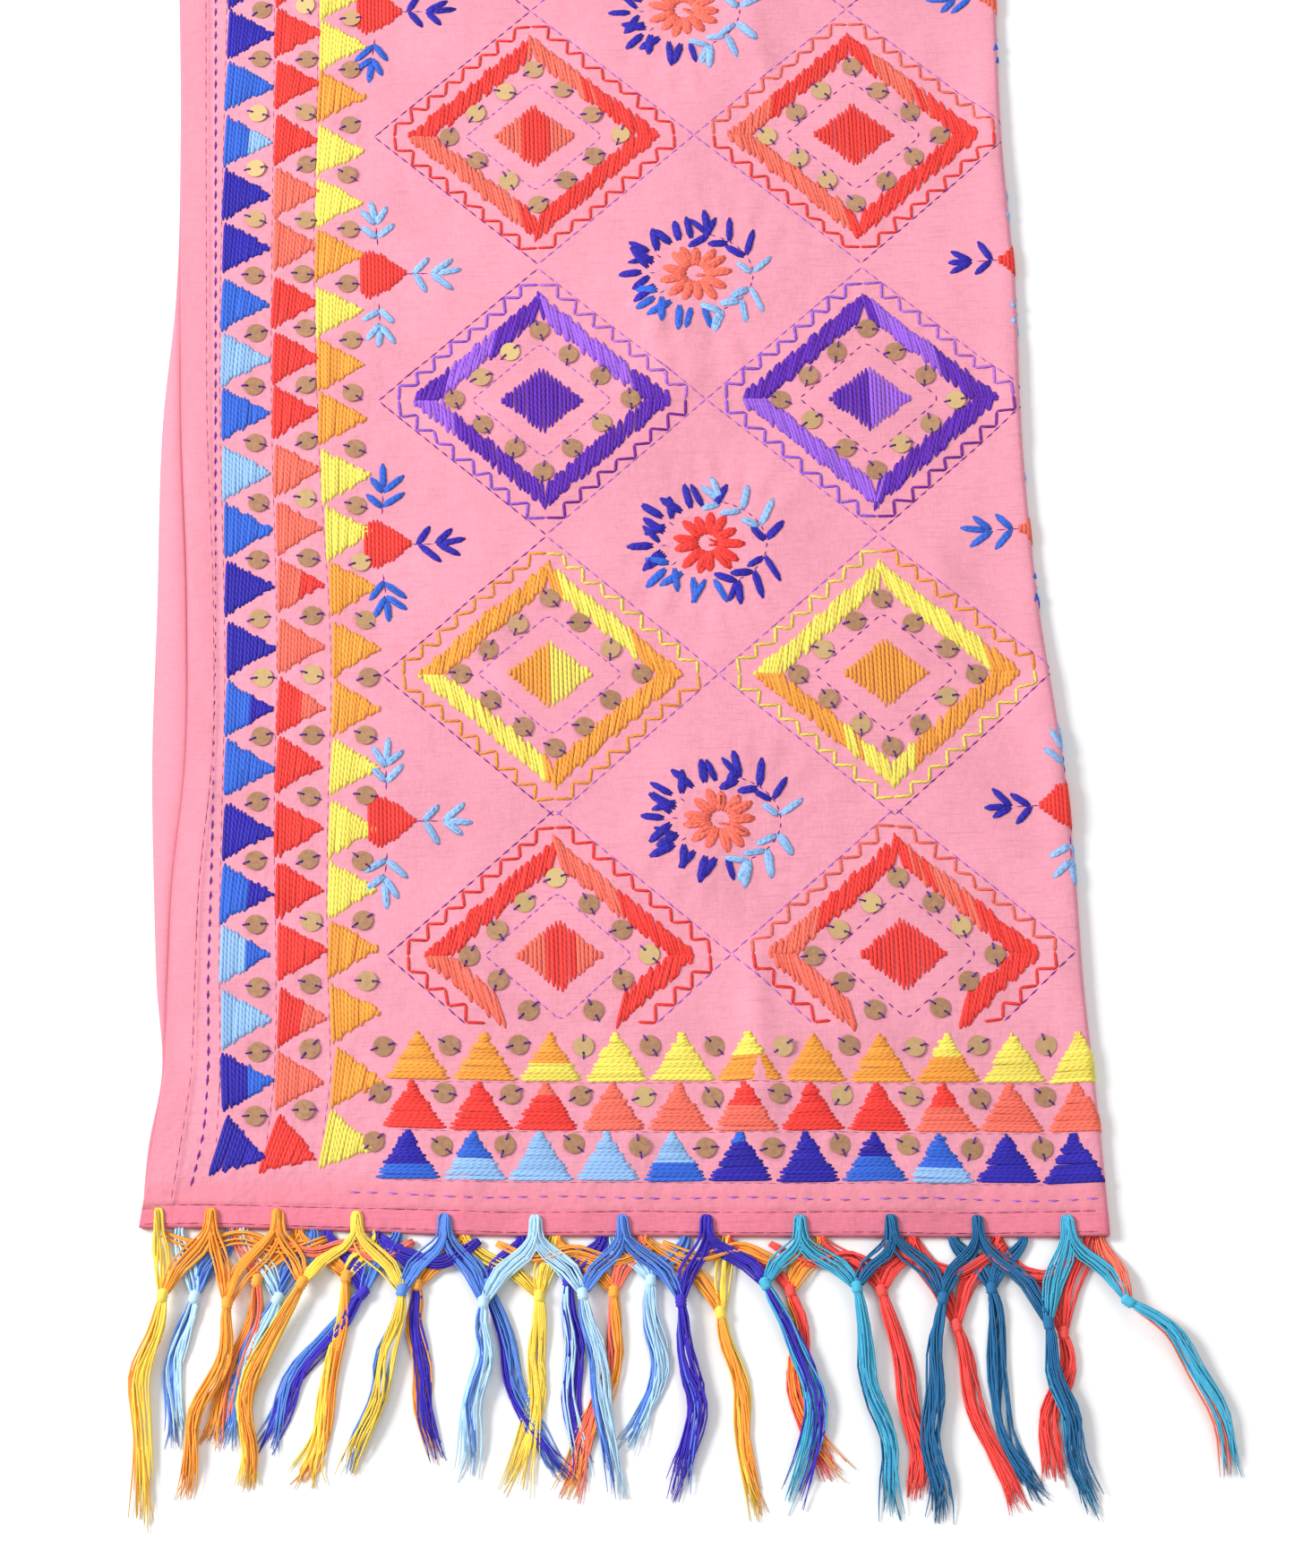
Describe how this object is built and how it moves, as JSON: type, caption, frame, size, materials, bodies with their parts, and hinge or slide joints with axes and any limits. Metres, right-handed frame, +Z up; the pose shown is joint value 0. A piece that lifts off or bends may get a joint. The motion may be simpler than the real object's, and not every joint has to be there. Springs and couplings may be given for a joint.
{
  "type": "folded phulkari shawl",
  "caption": "Embroidered cotton shawl folded once lengthwise and laid flat, with turned hems and a knotted yarn fringe along both short ends.",
  "frame": {"origin": "on the floor under the middle of the folded shawl and its fringe", "axes": "+Y along the shawl's length, away from the end that the picture shows; +X from the free long hems towards the fold; +Z up, off the face that lies on the floor"},
  "size_m": [0.5299, 2.5778, 0.0089],
  "materials": {
    "cloth": "matt plain-weave cotton, soft pink",
    "end_hem": "matt cotton turned twice, darker pink",
    "yarn_yellow": "soft twisted yarn",
    "yarn_orange": "soft twisted yarn",
    "yarn_light_blue": "soft twisted yarn",
    "yarn_royal_blue": "soft twisted yarn",
    "yarn_navy": "soft twisted yarn",
    "yarn_cyan": "soft twisted yarn",
    "yarn_teal": "soft twisted yarn",
    "yarn_red": "soft twisted yarn",
    "yarn_coral": "soft twisted yarn",
    "embroidery": "untwisted floss in satin stitch",
    "sequin": "worn thin sheet metal, dull gold"
  },
  "bodies": {
    "root": {"shawl_panel": "cloth", "end_band_near": "end_hem", "end_band_far": "end_hem", "tassel_near_top_00": "yarn_yellow", "tassel_near_top_01": "yarn_orange", "tassel_near_top_02": "yarn_orange", "tassel_near_top_03": "yarn_orange", "tassel_near_top_04": "yarn_light_blue", "tassel_near_top_05": "yarn_royal_blue", "tassel_near_top_06": "yarn_navy", "tassel_near_top_07": "yarn_cyan", "tassel_near_top_08": "yarn_cyan", "tassel_near_top_09": "yarn_teal", "tassel_near_top_10": "yarn_teal", "tassel_near_top_11": "yarn_coral", "tassel_near_under_00": "yarn_light_blue", "tassel_near_under_01": "yarn_coral", "tassel_near_under_02": "yarn_orange", "tassel_near_under_03": "yarn_navy", "tassel_near_under_04": "yarn_yellow", "tassel_near_under_05": "yarn_orange", "tassel_near_under_06": "yarn_yellow", "tassel_near_under_07": "yarn_red", "tassel_near_under_08": "yarn_red", "tassel_near_under_09": "yarn_red", "tassel_near_under_10": "yarn_red", "tassel_far_top_00": "yarn_yellow", "tassel_far_top_01": "yarn_orange", "tassel_far_top_02": "yarn_orange", "tassel_far_top_03": "yarn_orange", "tassel_far_top_04": "yarn_light_blue", "tassel_far_top_05": "yarn_royal_blue", "tassel_far_top_06": "yarn_navy", "tassel_far_top_07": "yarn_cyan", "tassel_far_top_08": "yarn_cyan", "tassel_far_top_09": "yarn_teal", "tassel_far_top_10": "yarn_teal", "tassel_far_top_11": "yarn_coral", "tassel_far_under_00": "yarn_light_blue", "tassel_far_under_01": "yarn_coral", "tassel_far_under_02": "yarn_orange", "tassel_far_under_03": "yarn_navy", "tassel_far_under_04": "yarn_yellow", "tassel_far_under_05": "yarn_orange", "tassel_far_under_06": "yarn_yellow", "tassel_far_under_07": "yarn_red", "tassel_far_under_08": "yarn_red", "tassel_far_under_09": "yarn_red", "tassel_far_under_10": "yarn_red"}
  },
  "joints": []
}
